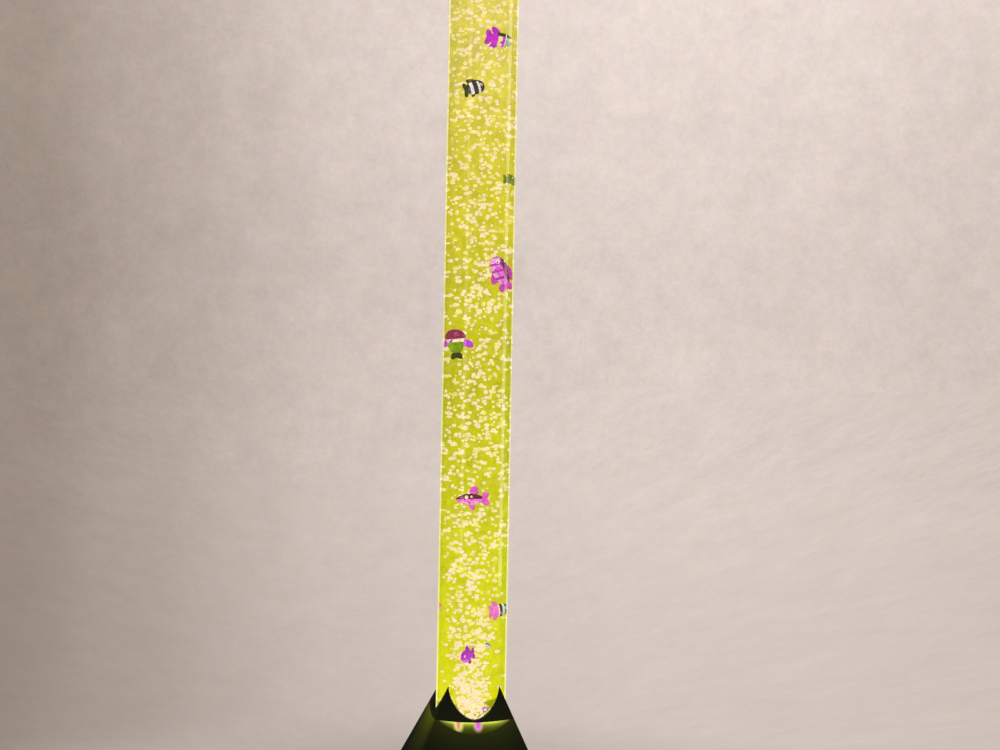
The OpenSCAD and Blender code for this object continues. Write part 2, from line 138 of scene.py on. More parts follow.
def slope(tree, value, low, high, at_low=0.0, at_high=1.0, **options):
    """Runs straight from one result at low to another at high, and stays level beyond them."""
    inputs = {"Value": value, "From Min": low, "From Max": high, "To Min": at_low, "To Max": at_high}
    return add(tree, "MapRange", inputs, **options).outputs[0]


def ease(tree, value, low, high, at_low=0.0, at_high=1.0):
    """A slope with a soft start and a soft end."""
    return slope(tree, value, low, high, at_low, at_high, interpolation_type="SMOOTHSTEP")


def noise(tree, place, scale, detail=2.0, rough=0.5):
    """A cloudy value round 0.5. Detail adds finer clouds to it, and rough is how strong those are."""
    inputs = {"Vector": place, "Scale": scale, "Detail": detail, "Roughness": rough}
    return add(tree, "TexNoise", inputs).outputs["Fac"]


def blend(tree, share, first, second):
    """The first colour where the share is 0, and the second where it is 1."""
    return add(tree, "Mix", {0: share, 6: first, 7: second}, data_type="RGBA").outputs[2]


def coloured(tree, colour, amount):
    """A colour times another colour or a plain amount."""
    return add(tree, "VectorMath", {0: colour, 1: amount}, operation="MULTIPLY").outputs[0]


def together(tree, one, other):
    """The sum of two colours or two places."""
    return add(tree, "VectorMath", {0: one, 1: other}, operation="ADD").outputs[0]


def distance(tree, vector):
    return add(tree, "VectorMath", {0: vector}, operation="LENGTH").outputs["Value"]


def split(tree, vector):
    """The three parts of a place, a direction or a colour."""
    parts = add(tree, "SeparateXYZ", {0: vector})
    return parts.outputs["X"], parts.outputs["Y"], parts.outputs["Z"]


def colour_ramp(tree, value, stops):
    """A colour ramp. A stop is a place of 0 to 1 and a linear colour."""
    ramp = add(tree, "ValToRGB", {"Fac": value})
    points = ramp.color_ramp.elements
    for _ in stops[2:]:
        points.new(0.5)
    for point, (place, colour) in zip(points, stops):
        point.position = place
        point.color = (*colour[:3], 1)
    return ramp

# %% [markdown]
# ## Shared effects
# Moulded plastic is never one flat colour: it has a slow unevenness in its gloss, hair-fine scratches, dust
# that settles on faces that look up, and an edge that is slightly round and rubbed. One group makes all of
# these. On the black base the rubbed edge is a pale olive, which is a painted highlight along its ridges as
# well as wear. The Bevel node rounds sharp CAD edges in the shading alone, so the solids stay as they are.

# %% Group: a handled surface with a rounded edge, scratches and dust
def surface_group():
    tree, given, gives = start_group("handled_surface", [
        ("Colour", "Color", (0.5, 0.5, 0.5, 1)), ("Worn and sheen colour", "Color", (0.6, 0.6, 0.6, 1)),
        ("Dust colour", "Color", rgb(170, 160, 145)), ("Dust", "Float", 0.1), ("Wear", "Float", 0.3),
        ("Roughness", "Float", 0.3), ("Unevenness", "Float", 0.1), ("Scratches", "Float", 0.1),
        ("Grain size", "Float", 400.0), ("Grain depth", "Float", 0.02), ("Edge radius", "Float", 0.0008),
    ], [("Colour", "Color"), ("Roughness", "Float"), ("Normal", "Vector")])
    calc = math_nodes(tree)
    place = add(tree, "TexCoord").outputs["Object"]
    soft = noise(tree, place, 22.0, 5.0, 0.6)
    grain = noise(tree, place, given["Grain size"])
    drawn = add(tree, "Mapping", {"Vector": place, "Rotation": (0.4, 0.2, 0.7), "Scale": (900, 60, 260)})
    lines = slope(tree, noise(tree, drawn.outputs[0], 1.0, 1.0), 0.66, 0.72)
    lines = calc("MULTIPLY", lines, given["Scratches"])

    rounded = add(tree, "Bevel", {"Radius": given["Edge radius"]}, samples=6).outputs[0]
    flat = add(tree, "NewGeometry").outputs["Normal"]
    match = add(tree, "VectorMath", {0: rounded, 1: flat}, operation="DOT_PRODUCT").outputs["Value"]
    edge = calc("MULTIPLY", slope(tree, match, 0.995, 0.9), soft)
    edge = calc("MULTIPLY", edge, given["Wear"], use_clamp=True)

    settled = calc("MULTIPLY", slope(tree, split(tree, flat)[2], 0.2, 1.0), slope(tree, soft, 0.35, 0.75))
    settled = calc("MULTIPLY", settled, given["Dust"], use_clamp=True)

    colour = coloured(tree, given["Colour"], slope(tree, soft, 0.3, 0.7, 0.82, 1.15))
    # worn edges take the worn colour, which on the black base is a painted highlight as well as wear
    for amount, layer in ((edge, "Worn and sheen colour"), (settled, "Dust colour")):
        colour = blend(tree, amount, colour, given[layer])
    tree.links.new(colour, gives["Colour"])

    uneven = slope(tree, soft, 0.3, 0.7, -1.0, 1.0)
    gloss = calc("MULTIPLY_ADD", uneven, given["Unevenness"], given["Roughness"])
    for amount, share in ((lines, 0.5), (settled, 0.5), (edge, 0.2)):
        gloss = calc("MULTIPLY_ADD", amount, share, gloss)
    tree.links.new(gloss, gives["Roughness"])

    relief = {"Strength": given["Grain depth"], "Distance": 0.0003, "Height": calc("SUBTRACT", grain, lines)}
    tree.links.new(add(tree, "Bump", {**relief, "Normal": rounded}).outputs[0], gives["Normal"])
    return tree


surface = surface_group()
print("group", surface.name, "with", len(surface.nodes), "nodes")

# %% [markdown]
# Two more groups say where a point lies. The first measures from the seam, the bowed line where the crown
# meets the housing: the light leaks out there, so both the frosted panes and the glow painted on the black
# plastic use it. The second gives the colour of the water at a height. It also gives a lift, which is what
# the colour of a thing in the water is multiplied by to look right through the water's skin.

# %% Groups: place on a face of the base, and the tint of the water
SEAM_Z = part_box("crown_collar")[0].z
SEAM_RADIUS = 0.31
WATER_TINT = (              # heights in metres, and the water's colour there
    (0.1, (0.93, 0.95, 0.006)), (0.3, (0.93, 0.95, 0.006)), (0.54, (0.85, 0.87, 0.006)),
    (0.8, (0.98, 0.94, 0.045)), (1.05, (0.94, 0.9, 0.22)))


def height_ramp(tree, stops, low=0.1, high=1.1):
    """A colour ramp up the lamp. A stop is a height in metres and a linear colour."""
    up = slope(tree, split(tree, add(tree, "TexCoord").outputs["Object"])[2], low, high)
    stops = [((height - low) / (high - low), colour) for height, colour in stops]
    return colour_ramp(tree, up, stops).outputs["Color"]


def seam_group():
    tree, _, gives = start_group("seam_place", [], [("Below", "Float"), ("Along", "Float")])
    calc = math_nodes(tree)
    x, y, z = split(tree, add(tree, "TexCoord").outputs["Object"])
    turn = calc("ARCTAN2", y, x)
    face = calc("ROUND", calc("DIVIDE", turn, math.pi / 2))
    beside = calc("SUBTRACT", turn, calc("MULTIPLY", face, math.pi / 2))
    out = calc("SQRT", calc("ADD", calc("MULTIPLY", x, x), calc("MULTIPLY", y, y)))
    along = calc("MULTIPLY", out, calc("SINE", beside))
    seam = calc("MULTIPLY_ADD", calc("MULTIPLY", along, along), 0.5 / SEAM_RADIUS, SEAM_Z)
    tree.links.new(calc("SUBTRACT", seam, z), gives["Below"])
    tree.links.new(along, gives["Along"])
    return tree


def tint_group():
    tree, _, gives = start_group("water_tint", [], [("Tint", "Color"), ("Lift", "Color")])
    tint = height_ramp(tree, WATER_TINT)
    tree.links.new(tint, gives["Tint"])
    root = add(tree, "VectorMath", {0: tint, 1: (0.5, 0.5, 0.5)}, operation="POWER").outputs[0]
    lift = add(tree, "VectorMath", {0: (1, 1, 1), 1: root}, operation="DIVIDE").outputs[0]
    tree.links.new(lift, gives["Lift"])
    return tree


seam_place = seam_group()
water_tint = tint_group()
print("seam at", round(SEAM_Z, 4), "m")

# %% [markdown]
# ## The finishes of the solids
# Each solid names a material slot in its record. One table gives a colour and a surface for each slot, and
# one function turns a row into a material. The base is polished black plastic with an olive cast, and the
# tube's light on it is a glow painted into its emission. The inner pieces are what such lamps hold: tinned
# boards, silicone hose, turned brass, zinc plated screws.

# %% A material from a row of the table
def finish(name, colour, rough, metal=0.0, worn_and_sheen=None, **values):
    """A material of one solid's kind: the shared surface group feeding a Principled shader."""
    material, tree, shader = new_material(name, {"Metallic": metal})
    skin = add(tree, "Group", node_tree=surface)
    skin.inputs["Colour"].default_value = colour
    paler = tuple(min(1, 0.06 + 1.5 * c) for c in colour[:3]) + (1,)
    skin.inputs["Worn and sheen colour"].default_value = worn_and_sheen or paler
    skin.inputs["Roughness"].default_value = rough
    for label, value in values.items():
        skin.inputs[label.replace("_", " ").capitalize()].default_value = value
    for output, socket in (("Colour", "Base Color"), ("Roughness", "Roughness"), ("Normal", "Normal")):
        tree.links.new(skin.outputs[output], shader.inputs[socket])
    return material, tree, shader


BLACK = rgb(12, 14, 2)
PLAIN = {
    "black_matte": dict(colour=rgb(34, 36, 34), rough=0.55, unevenness=0.08, grain_depth=0.25, dust=0.25),
    "grey_plastic": dict(colour=rgb(92, 96, 102), rough=0.5, grain_depth=0.3, dust=0.2),
    "button_plastic": dict(colour=rgb(48, 50, 52), rough=0.38, grain_depth=0.15, wear=0.6),
    "blue_valve": dict(colour=rgb(60, 120, 190), rough=0.3, dust=0.05),
    "white_board": dict(colour=rgb(226, 228, 220), rough=0.42, grain_depth=0.08, edge_radius=0.0002),
    "green_board": dict(colour=rgb(24, 92, 48), rough=0.35, grain_depth=0.08, edge_radius=0.0002),
    "soft_hose": dict(colour=rgb(206, 212, 206), rough=0.35, scratches=0.02),
    "rubber": dict(colour=rgb(38, 39, 41), rough=0.72, grain_depth=0.5, grain_size=900.0, dust=0.35,
                   scratches=0.02),
    "zinc_steel": dict(colour=rgb(186, 188, 190), rough=0.34, metal=1.0, scratches=0.25, edge_radius=0.0002),
    "core_steel": dict(colour=rgb(120, 122, 126), rough=0.5, metal=1.0, grain_depth=0.4, edge_radius=0.0003),
    "copper_coil": dict(colour=rgb(190, 104, 60), rough=0.38, metal=1.0, grain_depth=0.2),
    "brass": dict(colour=rgb(204, 166, 92), rough=0.28, metal=1.0, scratches=0.2, edge_radius=0.0003),
}
materials = {name: finish(name, **row)[0] for name, row in PLAIN.items()}
# painted highlight: on the black base the worn colour is a pale olive, so its rubbed ridges also carry a painted
# highlight
materials["black_gloss"], black_tree, black = finish(
    "black_gloss", BLACK, 0.42, worn_and_sheen=rgb(66, 78, 36), wear=0.6, unevenness=0.08, scratches=0.12,
    grain_depth=0.06, dust=0.02, edge_radius=0.0011)
black.inputs["Specular IOR Level"].default_value = 0.08


def painted_seam_glow(tree, colour=(0.025, 0.031, 0.0004), reach=0.022):
    """Painted light: the seam's glow on the plastic round it, put into its emission. It is stronger below and in
    the middle of a face, and at flat angles, where it is a painted reflection of the lit tube.
    """
    calc = math_nodes(tree)
    place = add(tree, "Group", node_tree=seam_place).outputs
    fade = calc("POWER", math.e, calc("DIVIDE", calc("ABSOLUTE", place["Below"]), -reach))
    under = calc("GREATER_THAN", place["Below"], 0.0)
    fade = calc("MULTIPLY", fade, calc("MULTIPLY_ADD", under, 0.85, 0.15))
    middle = ease(tree, calc("ABSOLUTE", place["Along"]), 0.075, 0.02)
    fade = calc("MULTIPLY", fade, calc("MULTIPLY_ADD", middle, 0.75, 0.25))
    # painted reflection: the glow grows where the plastic is seen at flat angles, as the lit tube mirrored in it
    flat = ease(tree, add(tree, "LayerWeight", {"Blend": 0.5}).outputs["Facing"], 0.5, 0.95)
    return coloured(tree, colour, calc("MULTIPLY", fade, calc("MULTIPLY_ADD", flat, 1.8, 1.0)))


# painted light: the seam's glow on the black plastic is put into its emission
black_tree.links.new(painted_seam_glow(black_tree), black.inputs["Emission Color"])
black.inputs["Emission Strength"].default_value = 1.0
print(len(materials), "plain materials")

# %% [markdown]
# ## Lit pieces
# Below the seam each face has a slot, and a frosted pane of the light ring fills it. The lamps stand under
# the crown's edge, so a pane has a bright line along the seam and is dark at its foot. In front of a
# coloured lamp is an upright streak with a pale fringe. It has a place along the face, half its width, the
# width of its fringe, and the depth at which it has faded.

# %% Frosted panes
PANE_GLOW = (               # colour, how fast it fades downwards, and where along a face it ends and is full
    (rgb(230, 238, 100)[:3], 0.0018, 0.05, 0.026),
    (rgb(132, 148, 12)[:3], 0.004, 0.043, 0.02),
)
PANE_STREAKS = (            # place, half width, fringe and depth, then the colour and the fringe's colour
    ((-0.0206, 0.0034, 0.0040, 0.0125), rgb(232, 140, 124), rgb(246, 242, 132)),
    ((0.0042, 0.0050, 0.0020, 0.0115), rgb(222, 92, 226), rgb(244, 200, 150)),
)


def lit_ring():
    material, tree, shader = finish("lit_diffuser", rgb(14, 17, 3), 0.4, dust=0.0, wear=0.1)
    shader.inputs["Specular IOR Level"].default_value = 0.08
    calc = math_nodes(tree)
    place = add(tree, "Group", node_tree=seam_place).outputs
    below = calc("MAXIMUM", place["Below"], 0.0)
    beside = calc("ABSOLUTE", place["Along"])
    # the glow painted on the plastic round the seam lies over the pane as well
    glow = painted_seam_glow(tree)
    lit = (0, 0, 0)
    for colour, reach, dark_at, full_at in PANE_GLOW:
        fade = calc("POWER", math.e, calc("DIVIDE", below, -reach))
        fade = calc("MULTIPLY", fade, ease(tree, beside, dark_at, full_at))
        lit = together(tree, lit, coloured(tree, colour, fade))
    for (along, half_width, fringe, depth), colour, pale in PANE_STREAKS:
        across = calc("SUBTRACT", place["Along"], along)
        for half, end, tone in ((half_width + fringe, depth, pale), (half_width, 0.92 * depth, colour)):
            wide = calc("DIVIDE", across, half)
            down = calc("DIVIDE", calc("MAXIMUM", calc("SUBTRACT", below, 0.3 * end), 0.0), 0.7 * end)
            away = calc("SQRT", calc("ADD", calc("MULTIPLY", wide, wide), calc("MULTIPLY", down, down)))
            lit = blend(tree, calc("POWER", ease(tree, away, 1.25, 0.25), 1.5), lit, tone)
    # painted shade: the panes' glow is dimmed where a pane is seen at a flat angle
    facing = ease(tree, add(tree, "LayerWeight", {"Blend": 0.5}).outputs["Facing"], 0.86, 0.3)
    tree.links.new(together(tree, coloured(tree, lit, facing), glow), shader.inputs["Emission Color"])
    shader.inputs["Emission Strength"].default_value = 1.0
    return material


materials["lit_diffuser"] = lit_ring()

# %% LED lenses
def led_lens():
    material, tree, shader = finish("led_lens", rgb(236, 238, 220), 0.15, dust=0.0, wear=0.0)
    mixed = noise(tree, add(tree, "TexCoord").outputs["Object"], 40.0)
    warm = blend(tree, mixed, rgb(255, 240, 170), rgb(230, 245, 120))
    tree.links.new(warm, shader.inputs["Emission Color"])
    shader.inputs["Emission Strength"].default_value = 2.0
    return material


materials["led_lens"] = led_lens()

# %% [markdown]
# ## The clear tube
# Cast acrylic bends light like glass. A real tube of water is a strong lens: it spreads what floats in its
# middle to a third more than its width. So the tube and the water both get true refraction, and no
# see-through trick. Light that runs round inside the wall comes out at its edges, which a little glow at
# flat angles stands for.

# %% Acrylic, and every solid in its finish
def acrylic():
    material, tree, shader = new_material("clear_tube", {
        "Base Color": rgb(253, 253, 240), "Transmission Weight": 1.0, "IOR": 1.49, "Emission Strength": 1.0})
    drawn = add(tree, "Mapping", {"Vector": add(tree, "TexCoord").outputs["Object"], "Scale": (60, 60, 6)})
    rough = slope(tree, noise(tree, drawn.outputs[0], 1.0, 4.0), 0.45, 0.8, 0.0, 0.015)
    tree.links.new(rough, shader.inputs["Roughness"])
    edge = ease(tree, add(tree, "LayerWeight", {"Blend": 0.5}).outputs["Facing"], 0.64, 0.8)
    tree.links.new(coloured(tree, (0.52, 0.48, 0.3), edge), shader.inputs["Emission Color"])
    return material


materials["clear_tube"] = acrylic()
for row in frame["record"]["subparts"]:
    if row["material_slot"] in materials:
        node = frame["nodes"][row["node"]]
        node.data.materials.clear()
        node.data.materials.append(materials[row["material_slot"]])
print("dressed", len(frame["nodes"]), "solids")

# %% [markdown]
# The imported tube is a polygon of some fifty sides, which would show as ripples in every line of light. A
# rounder one takes its place: an open cylinder as high as the solid, with a Solidify modifier for its wall.

# %% A rounder tube
TUBE_WALL = 0.0025


def select_none():
    if bpy.context.object and bpy.context.object.mode == "EDIT":
        bpy.ops.object.mode_set(mode="OBJECT")
    bpy.ops.object.select_all(action="DESELECT")


low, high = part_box("bubble_tube")
TUBE_RADIUS = high.x
select_none()
bpy.ops.mesh.primitive_cylinder_add(vertices=192, radius=TUBE_RADIUS, depth=high.z - low.z,
                                    location=(0, 0, (high.z + low.z) / 2), end_fill_type="NOTHING")
tube = bpy.context.object
tube.name = tube.data.name = "round_tube"
bpy.ops.object.transform_apply(location=True)
wall = tube.modifiers.new("wall", "SOLIDIFY")
wall.thickness, wall.offset = TUBE_WALL, -1
bpy.ops.object.modifier_apply(modifier="wall")
bpy.ops.object.shade_smooth_by_angle(angle=math.radians(30))
tube.data.materials.append(materials["clear_tube"])
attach(tube, "lamp")
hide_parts("bubble_tube")
print("tube", len(tube.data.polygons), "faces, radius", round(TUBE_RADIUS, 4))

# %% [markdown]
# ## The plastic fish
# The fish are small soft mouldings, painted by hand: a body, a forked tail, a back fin, a belly fin and two
# side fins. Each part is a loft. It starts as a flat ring, which is extruded, moved and resized once for
# each station along it, as by hand. A body's rings are round, and are pressed to upright ovals when the
# fish is placed. A fin's are thin slices that follow its front and back edge.

# %% Loft: one ring, extruded from station to station
def loft(stations, sides):
    """A closed tube along Z. A station is (z, centre along x, half width in x, half width in y)."""
    select_none()
    z, x, half_x, half_y = stations[0]
    bpy.ops.mesh.primitive_circle_add(vertices=sides, radius=1, fill_type="NGON", location=(0, 0, 0))
    part = bpy.context.object
    bpy.ops.object.mode_set(mode="EDIT")
    bpy.ops.mesh.select_all(action="SELECT")
    bpy.ops.transform.resize(value=(half_x, half_y, 1))
    bpy.ops.transform.translate(value=(x, 0, z))
    for next_z, next_x, next_half_x, next_half_y in stations[1:]:
        bpy.ops.mesh.extrude_region_move(TRANSFORM_OT_translate={"value": (next_x - x, 0, next_z - z)})
        bpy.ops.transform.resize(value=(next_half_x / half_x, next_half_y / half_y, 1),
                                 center_override=(next_x, 0, next_z))
        z, x, half_x, half_y = next_z, next_x, next_half_x, next_half_y
    bpy.ops.mesh.select_all(action="SELECT")
    bpy.ops.mesh.normals_make_consistent(inside=False)
    bpy.ops.object.mode_set(mode="OBJECT")
    return part


def fin(outline, thick):
    """A thin blade. The outline gives (z, front edge, back edge), from one tip to the other."""
    stations = [(z, (front + back) / 2, abs(front - back) / 2, thick) for z, front, back in outline]
    for end in (0, -1):
        stations[end] = (*stations[end][:3], 0.35 * thick)
    return loft(stations, 8)

# %% [markdown]
# A fish is measured in shares of its length (x, nose at +0.5) and of its body's height (z). All eleven come
# from six castings, stretched to their own sizes. A casting has a body, given by half heights from the nose
# to the root of the tail, and fins on its middle plane, given by a front and a back edge from the foot of
# the fin to its tip.

# %% The six castings
ROUND_BODY = [(0.5, 0.06), (0.485, 0.17), (0.44, 0.29), (0.37, 0.39), (0.27, 0.47), (0.15, 0.5), (0.02, 0.48),
              (-0.1, 0.43), (-0.2, 0.36), (-0.3, 0.28)]
SNOUT_BODY = [(0.5, 0.04), (0.48, 0.1), (0.42, 0.18), (0.33, 0.27), (0.22, 0.36), (0.08, 0.42), (-0.05, 0.4),
              (-0.16, 0.32), (-0.25, 0.22), (-0.31, 0.16)]
CAP_BODY = [(0.5, 0.06), (0.49, 0.17), (0.46, 0.29), (0.41, 0.39), (0.34, 0.47), (0.26, 0.52), (0.21, 0.53),
            (0.18, 0.43), (0.1, 0.41), (0.0, 0.41), (-0.1, 0.36), (-0.2, 0.28), (-0.28, 0.2)]
TAIL = [(0.0, -0.22, -0.44), (0.1, -0.22, -0.46), (0.3, -0.24, -0.5), (0.5, -0.29, -0.5), (0.6, -0.35, -0.46)]
SIDE_FIN = [(0, 0.05, -0.02), (-0.1, 0.03, -0.07), (-0.2, 0.0, -0.11), (-0.26, -0.03, -0.1)]
SHAPES = {          # body, back fin, belly fin, height of the tail
    "deep": (ROUND_BODY,
             [(0.3, 0.1, -0.24), (0.46, 0.07, -0.3), (0.6, 0.0, -0.33), (0.72, -0.1, -0.33),
              (0.78, -0.17, -0.29)],
             [(-0.3, 0.08, -0.22), (-0.46, 0.04, -0.28), (-0.6, -0.04, -0.31), (-0.7, -0.14, -0.29)], 0.85),
    "star": (ROUND_BODY,
             [(0.3, 0.26, -0.26), (0.48, 0.18, -0.18), (0.64, 0.1, -0.1), (0.78, 0.03, -0.04)],
             [(-0.3, 0.1, -0.2), (-0.46, 0.05, -0.22), (-0.6, 0.0, -0.22), (-0.7, -0.04, -0.2)], 0.72),
    "slim": (ROUND_BODY,
             [(0.3, 0.26, -0.2), (0.45, 0.24, -0.25), (0.56, 0.14, -0.27), (0.64, -0.02, -0.25)],
             [(-0.3, 0.08, -0.15), (-0.46, 0.05, -0.18), (-0.58, -0.04, -0.18)], 0.8),
    "frilly": (ROUND_BODY,
               [(0.3, 0.3, -0.2), (0.46, 0.28, -0.25), (0.62, 0.16, -0.28), (0.76, -0.06, -0.28)],
               [(-0.3, 0.16, -0.2), (-0.46, 0.12, -0.24), (-0.6, 0.02, -0.25), (-0.72, -0.12, -0.24)], 0.75),
    "snout": (SNOUT_BODY,
              [(0.25, 0.12, -0.15), (0.45, 0.12, -0.2), (0.65, 0.08, -0.21), (0.8, 0.02, -0.18),
               (0.88, -0.03, -0.12)],
              [(-0.25, 0.14, -0.06), (-0.5, 0.12, -0.07), (-0.66, 0.09, -0.06), (-0.76, 0.05, -0.02)], 0.75),
    "cap": (CAP_BODY,
            [(0.3, 0.18, -0.06), (0.45, 0.18, -0.1), (0.6, 0.16, -0.14), (0.74, 0.1, -0.16),
             (0.82, 0.02, -0.12)],
            [(-0.3, 0.18, -0.02), (-0.45, 0.18, -0.06), (-0.6, 0.15, -0.08), (-0.72, 0.08, -0.06)], 0.45),
}
EYE_X, EYE_Z = 0.33, 0.08               # along the fish, and above its middle
EYE_SIZE = (0.06, 0.08, 0.1)
BODY_ZONE, FIN_ZONE, EYE_ZONE = 0.0, 1.0, 2.0        # what the paint finds in a point's "zone"


def fish_eye(flank, side):
    select_none()
    bpy.ops.mesh.primitive_uv_sphere_add(segments=12, ring_count=8, radius=1)
    eye = bpy.context.object
    bpy.ops.object.mode_set(mode="EDIT")
    bpy.ops.mesh.select_all(action="SELECT")
    bpy.ops.transform.resize(value=EYE_SIZE)
    bpy.ops.object.mode_set(mode="OBJECT")
    eye.data.transform(Matrix.Translation((EYE_X, side * 0.92 * flank, EYE_Z)))
    return eye


def casting(name, outline, back, belly, tail_height):
    """One fish at the origin, 1 long and 1 tall and 1 thick, nose at +x."""
    body = loft([(x, 0, half, half) for x, half in outline], 16)
    body.data.transform(Matrix.Rotation(math.pi / 2, 4, "Y"))
    lobe = [(z * tail_height, front, rear) for z, front, rear in TAIL]
    tail = lobe[::-1] + [(-z, front, rear) for z, front, rear in lobe[1:]]
    parts = [(body, BODY_ZONE)]
    parts += [(fin(blade, thick), FIN_ZONE) for blade, thick in ((back, 0.15), (belly, 0.13), (tail, 0.14))]
    flank = float(np.interp(-EYE_X, [-x for x, _ in outline], [half for _, half in outline]))
    for side in (-1, 1):
        blade = fin(SIDE_FIN, 0.05)
        root = Matrix.Translation((0.14, side * 0.4, -0.1))
        blade.data.transform(root @ Matrix.Rotation(side * 0.7, 4, "X"))
        parts += [(blade, FIN_ZONE), (fish_eye(flank, side), EYE_ZONE)]
    select_none()
    for part, zone in parts:
        values = part.data.attributes.new("zone", "FLOAT", "POINT")
        values.data.foreach_set("value", [zone] * len(part.data.vertices))
        part.select_set(True)
    bpy.context.view_layer.objects.active = body
    bpy.ops.object.join()
    smooth = body.modifiers.new("round", "SUBSURF")
    smooth.levels = smooth.render_levels = 1
    bpy.ops.object.modifier_apply(modifier="round")
    bpy.ops.object.shade_smooth_by_angle(angle=math.radians(50))
    body.name = name
    print(name, len(body.data.polygons), "faces")
    return body


CASTINGS = {kind: casting("casting_" + kind, *shape) for kind, shape in SHAPES.items()}

# %% [markdown]
# Their paint is one group too. It reads the fish's own coordinates, which each copy keeps as an attribute,
# so back, belly, bands and eye stay where they belong however the fish is turned. Under the paint lie rows
# of scales and the rays of the fins, as fine relief.

# %% Group: fish paint
def paint_group():
    tree, given, gives = start_group("fish_paint", [
        ("Side", "Color", (0.7, 0.1, 0.5, 1)), ("Back", "Color", (0.1, 0.01, 0.06, 1)),
        ("Belly", "Color", (0.9, 0.5, 0.8, 1)), ("Band", "Color", (0.01, 0.01, 0.01, 1)),
        ("Fins", "Color", (0.9, 0.3, 0.7, 1)), ("Tail", "Color", (0.9, 0.3, 0.7, 1)),
        ("Head", "Color", (0.5, 0.1, 0.3, 1)), ("Rim", "Color", (0.9, 0.9, 0.7, 1)),
        ("Eye", "Color", rgb(246, 244, 250)), ("Back line", "Float", 0.18), ("Back from", "Float", -1.0),
        ("Bands", "Float", 0.0), ("Band width", "Float", 0.5), ("Band shift", "Float", 0.0),
        ("Bands from", "Float", -1.0), ("Head line", "Float", 1.0), ("Rim width", "Float", 0.0),
    ], [("Colour", "Color"), ("Height", "Float"), ("Roughness", "Float")])
    calc = math_nodes(tree)
    own = add(tree, "Attribute", attribute_name="own").outputs["Vector"]
    zone = add(tree, "Attribute", attribute_name="zone").outputs["Fac"]
    x, y, z = split(tree, own)

    # belly and side, head, bands, back, and a rim between head and body, each over the one before
    wobble = noise(tree, own, 7.0)
    height = calc("MULTIPLY_ADD", wobble, 0.16, z)
    colour = blend(tree, ease(tree, height, -0.16, 0.0), given["Belly"], given["Side"])
    ahead = calc("SUBTRACT", calc("MULTIPLY_ADD", wobble, 0.04, x), given["Head line"])
    colour = blend(tree, ease(tree, ahead, -0.01, 0.01), colour, given["Head"])
    along = calc("MULTIPLY_ADD", x, given["Bands"], calc("MULTIPLY_ADD", wobble, 0.3, given["Band shift"]))
    gap = calc("SUBTRACT", calc("PINGPONG", along, 1.0), given["Band width"])
    banded = calc("MULTIPLY", ease(tree, gap, -0.05, 0.05), calc("GREATER_THAN", given["Bands"], 0.0))
    banded = calc("MULTIPLY", banded, calc("GREATER_THAN", x, given["Bands from"]))
    colour = blend(tree, banded, colour, given["Band"])
    over = calc("SUBTRACT", height, calc("ADD", given["Back line"], 0.08))
    on_back = calc("MULTIPLY", ease(tree, over, -0.03, 0.03), calc("GREATER_THAN", x, given["Back from"]))
    colour = blend(tree, on_back, colour, given["Back"])
    beside = calc("SUBTRACT", calc("ABSOLUTE", calc("ADD", ahead, given["Rim width"])), given["Rim width"])
    colour = blend(tree, ease(tree, beside, 0.005, -0.005), colour, given["Rim"])

    # fins with rays, and eyes with a pupil
    rays = calc("SINE", calc("ADD", calc("MULTIPLY", z, 46.0), calc("MULTIPLY", x, 30.0)))
    fins = blend(tree, ease(tree, x, -0.2, -0.24), given["Fins"], given["Tail"])
    fins = coloured(tree, fins, slope(tree, rays, -0.6, 1.0, 1.0, 0.6))
    on_fin = ease(tree, zone, 0.4, 0.6)
    colour = blend(tree, on_fin, colour, fins)
    sight = coloured(tree, together(tree, own, (-EYE_X, 0, -EYE_Z)), (1.0, 0, 0.62))
    away = distance(tree, sight)
    pupil = blend(tree, ease(tree, away, 0.024, 0.03), rgb(8, 6, 10), given["Eye"])
    colour = blend(tree, ease(tree, zone, 1.4, 1.6), colour, pupil)
    patches = slope(tree, noise(tree, own, 11.0, 3.0), 0.38, 0.6, 0.6, 1.12)
    tree.links.new(coloured(tree, colour, patches), gives["Colour"])

    scaled = add(tree, "Mapping", {"Vector": own, "Scale": (24, 3, 15)}).outputs[0]
    scales = add(tree, "TexVoronoi", {"Vector": scaled, "Scale": 1.0}).outputs["Distance"]
    relief = {0: on_fin, 2: scales, 3: calc("MULTIPLY", rays, 0.4)}
    tree.links.new(add(tree, "Mix", relief, data_type="FLOAT").outputs[0], gives["Height"])
    tree.links.new(slope(tree, scales, 0.0, 1.0, 0.22, 0.42), gives["Roughness"])
    return tree


paint = paint_group()

